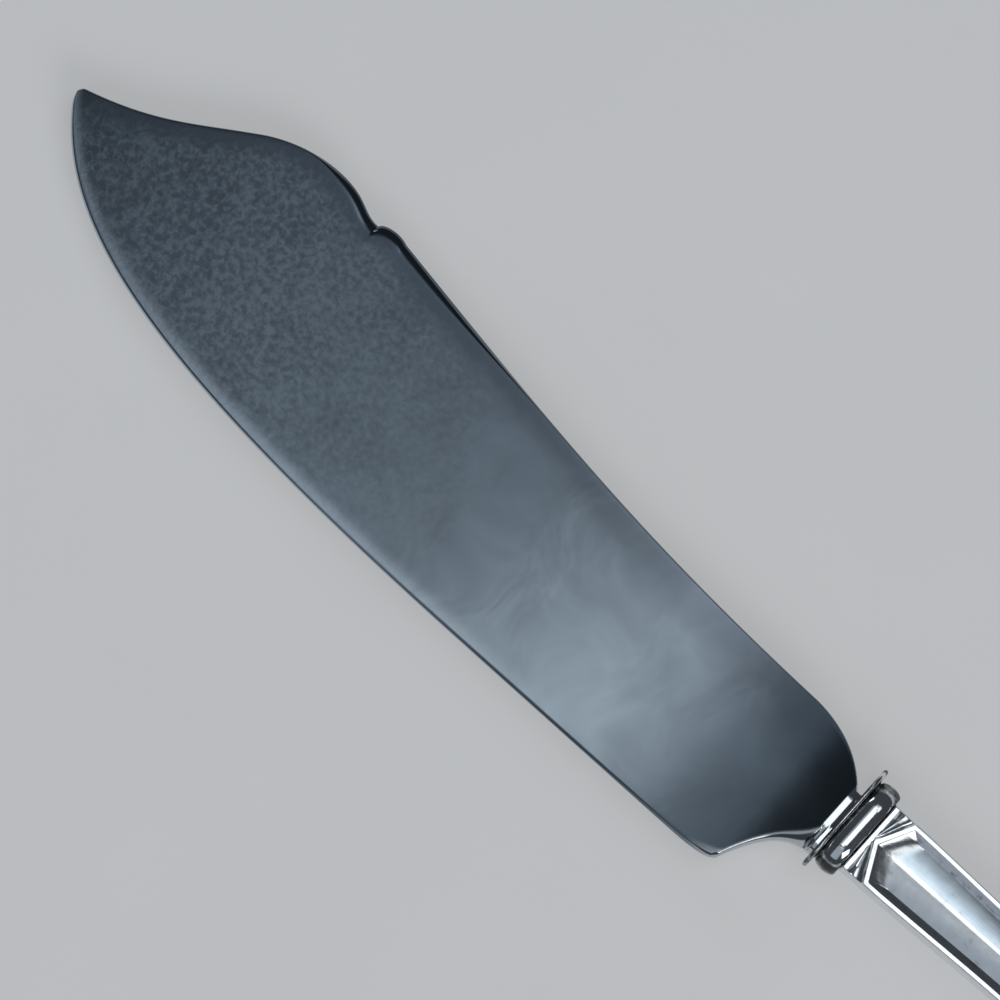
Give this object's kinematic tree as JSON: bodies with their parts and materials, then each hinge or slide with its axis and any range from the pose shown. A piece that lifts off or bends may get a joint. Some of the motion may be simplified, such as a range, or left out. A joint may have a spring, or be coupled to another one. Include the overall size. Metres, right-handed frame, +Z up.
{
  "type": "butter knife",
  "caption": "Hollow-handled butter knife: a satin steel blade with a notched spine and upswept clipped tip, a beaded silver collar and a panelled silver handle.",
  "frame": {"origin": "centre of the knife's box, on the plane that it rests on when it lies on its back", "axes": "+X along the handle towards the butt, with the blade's tip towards -X; +Y across the blade towards its spine, with the cutting edge towards -Y; +Z up, out of the face that is seen"},
  "size_m": [0.1778, 0.0216, 0.006],
  "materials": {
    "blade_steel": "satin grey-blue stainless steel with fine wear",
    "collar_silver": "bright polished silver with dark tarnish in its grooves",
    "handle_silver": "polished silver, finely scratched, with dark tarnish beside its rims",
    "silver_solder": "dull silver solder",
    "handle_cement": "set grey cement"
  },
  "bodies": {
    "root": {"blade": "blade_steel", "collar": "collar_silver", "handle_front_shell": "handle_silver", "handle_back_shell": "handle_silver", "seam_solder": "silver_solder", "cement_filler": "handle_cement"}
  },
  "joints": []
}
